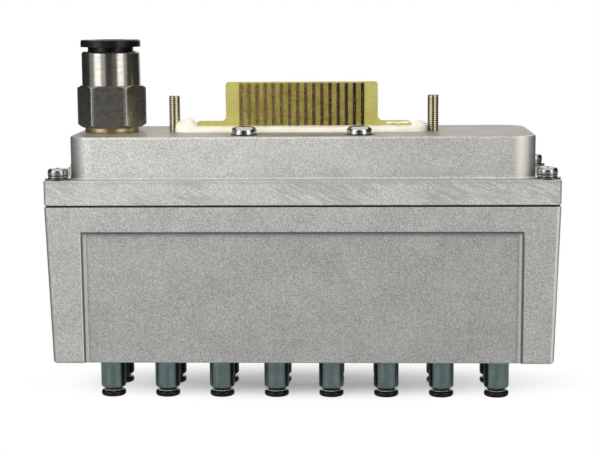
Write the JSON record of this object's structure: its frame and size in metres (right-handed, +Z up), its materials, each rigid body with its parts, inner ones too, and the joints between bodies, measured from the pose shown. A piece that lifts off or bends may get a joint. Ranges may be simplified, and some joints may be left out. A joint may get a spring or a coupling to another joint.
{
  "type": "solenoid valve block",
  "caption": "Die-cast solenoid valve block with a push-in inlet, an edge-connector board between two studs and two rows of push-in outlets underneath.",
  "frame": {"origin": "middle of the footprint, on the faces of the release collars that the block stands on", "axes": "+X along the block to the right as seen from the front, -Y towards the viewer, +Z up through the board tab"},
  "size_m": [0.156, 0.05, 0.1116],
  "materials": {
    "cast_housing": "sand-blasted die casting, warm grey",
    "cast_cover": "sand-blasted die casting, warm grey",
    "gasket_rubber": "matte black sheet",
    "zinc_screws": "bright zinc plate",
    "plated_brass": "nickel plated",
    "stud_steel": "yellowish zinc plate",
    "nickel_brass": "nickel plated, turned",
    "brass_ring": "bare brass, turned",
    "seal_rubber": "matte black",
    "stainless": "stamped",
    "black_plastic": "black moulding",
    "board_laminate": "olive-yellow glass-epoxy laminate",
    "contact_copper": "worn gold flash on copper",
    "silicone": "cream silicone sealant",
    "valve_plastic": "black glass-filled moulding",
    "coil_plastic": "dark blue encapsulation",
    "yoke_steel": "zinc-plated steel strip",
    "sleeve_steel": "dark plated steel"
  },
  "bodies": {
    "block": {"valve_housing": "cast_housing", "seam_gasket": "gasket_rubber", "top_cover": "cast_cover", "corner_screws": "zinc_screws", "spring_washers": "zinc_screws", "flat_washers": "zinc_screws", "dome_screws": "zinc_screws", "board_standoffs": "plated_brass", "threaded_studs": "stud_steel", "inlet_body": "nickel_brass", "inlet_washer": "brass_ring", "inlet_seal": "seal_rubber", "inlet_collet": "stainless", "edge_board": "board_laminate", "contact_fingers": "contact_copper", "silicone_bead": "silicone", "valve_bodies": "valve_plastic", "valve_coils": "coil_plastic", "coil_yokes": "yoke_steel", "coil_pins": "contact_copper", "terminal_board": "board_laminate", "outlet_sleeve_01": "sleeve_steel", "outlet_sleeve_02": "sleeve_steel", "outlet_sleeve_03": "sleeve_steel", "outlet_sleeve_04": "sleeve_steel", "outlet_sleeve_05": "sleeve_steel", "outlet_sleeve_06": "sleeve_steel", "outlet_sleeve_07": "sleeve_steel", "outlet_sleeve_08": "sleeve_steel", "outlet_sleeve_09": "sleeve_steel", "outlet_sleeve_10": "sleeve_steel", "outlet_sleeve_11": "sleeve_steel", "outlet_sleeve_12": "sleeve_steel", "outlet_sleeve_13": "sleeve_steel", "outlet_sleeve_14": "sleeve_steel", "outlet_sleeve_15": "sleeve_steel", "outlet_sleeve_16": "sleeve_steel", "outlet_seals": "seal_rubber"},
    "collar_01": {"release_collar_01": "black_plastic"},
    "collar_02": {"release_collar_02": "black_plastic"},
    "collar_03": {"release_collar_03": "black_plastic"},
    "collar_04": {"release_collar_04": "black_plastic"},
    "collar_05": {"release_collar_05": "black_plastic"},
    "collar_06": {"release_collar_06": "black_plastic"},
    "collar_07": {"release_collar_07": "black_plastic"},
    "collar_08": {"release_collar_08": "black_plastic"},
    "collar_09": {"release_collar_09": "black_plastic"},
    "collar_10": {"release_collar_10": "black_plastic"},
    "collar_11": {"release_collar_11": "black_plastic"},
    "collar_12": {"release_collar_12": "black_plastic"},
    "collar_13": {"release_collar_13": "black_plastic"},
    "collar_14": {"release_collar_14": "black_plastic"},
    "collar_15": {"release_collar_15": "black_plastic"},
    "collar_16": {"release_collar_16": "black_plastic"},
    "inlet_ring": {"inlet_release_ring": "black_plastic"}
  },
  "joints": [
    {"name": "collar_01_press", "type": "slide", "parent": "block", "child": "collar_01", "axis": [0, 0, 1], "range_m": [0, 0.0005], "stiffness_N_per_m": 50},
    {"name": "collar_02_press", "type": "slide", "parent": "block", "child": "collar_02", "axis": [0, 0, 1], "range_m": [0, 0.0005], "stiffness_N_per_m": 50},
    {"name": "collar_03_press", "type": "slide", "parent": "block", "child": "collar_03", "axis": [0, 0, 1], "range_m": [0, 0.0005], "stiffness_N_per_m": 50},
    {"name": "collar_04_press", "type": "slide", "parent": "block", "child": "collar_04", "axis": [0, 0, 1], "range_m": [0, 0.0005], "stiffness_N_per_m": 50},
    {"name": "collar_05_press", "type": "slide", "parent": "block", "child": "collar_05", "axis": [0, 0, 1], "range_m": [0, 0.0005], "stiffness_N_per_m": 50},
    {"name": "collar_06_press", "type": "slide", "parent": "block", "child": "collar_06", "axis": [0, 0, 1], "range_m": [0, 0.0005], "stiffness_N_per_m": 50},
    {"name": "collar_07_press", "type": "slide", "parent": "block", "child": "collar_07", "axis": [0, 0, 1], "range_m": [0, 0.0005], "stiffness_N_per_m": 50},
    {"name": "collar_08_press", "type": "slide", "parent": "block", "child": "collar_08", "axis": [0, 0, 1], "range_m": [0, 0.0005], "stiffness_N_per_m": 50},
    {"name": "collar_09_press", "type": "slide", "parent": "block", "child": "collar_09", "axis": [0, 0, 1], "range_m": [0, 0.0005], "stiffness_N_per_m": 50},
    {"name": "collar_10_press", "type": "slide", "parent": "block", "child": "collar_10", "axis": [0, 0, 1], "range_m": [0, 0.0005], "stiffness_N_per_m": 50},
    {"name": "collar_11_press", "type": "slide", "parent": "block", "child": "collar_11", "axis": [0, 0, 1], "range_m": [0, 0.0005], "stiffness_N_per_m": 50},
    {"name": "collar_12_press", "type": "slide", "parent": "block", "child": "collar_12", "axis": [0, 0, 1], "range_m": [0, 0.0005], "stiffness_N_per_m": 50},
    {"name": "collar_13_press", "type": "slide", "parent": "block", "child": "collar_13", "axis": [0, 0, 1], "range_m": [0, 0.0005], "stiffness_N_per_m": 50},
    {"name": "collar_14_press", "type": "slide", "parent": "block", "child": "collar_14", "axis": [0, 0, 1], "range_m": [0, 0.0005], "stiffness_N_per_m": 50},
    {"name": "collar_15_press", "type": "slide", "parent": "block", "child": "collar_15", "axis": [0, 0, 1], "range_m": [0, 0.0005], "stiffness_N_per_m": 50},
    {"name": "collar_16_press", "type": "slide", "parent": "block", "child": "collar_16", "axis": [0, 0, 1], "range_m": [0, 0.0005], "stiffness_N_per_m": 50},
    {"name": "inlet_ring_press", "type": "slide", "parent": "block", "child": "inlet_ring", "axis": [0, 0, -1], "range_m": [0, 0.0012], "stiffness_N_per_m": 4000}
  ]
}
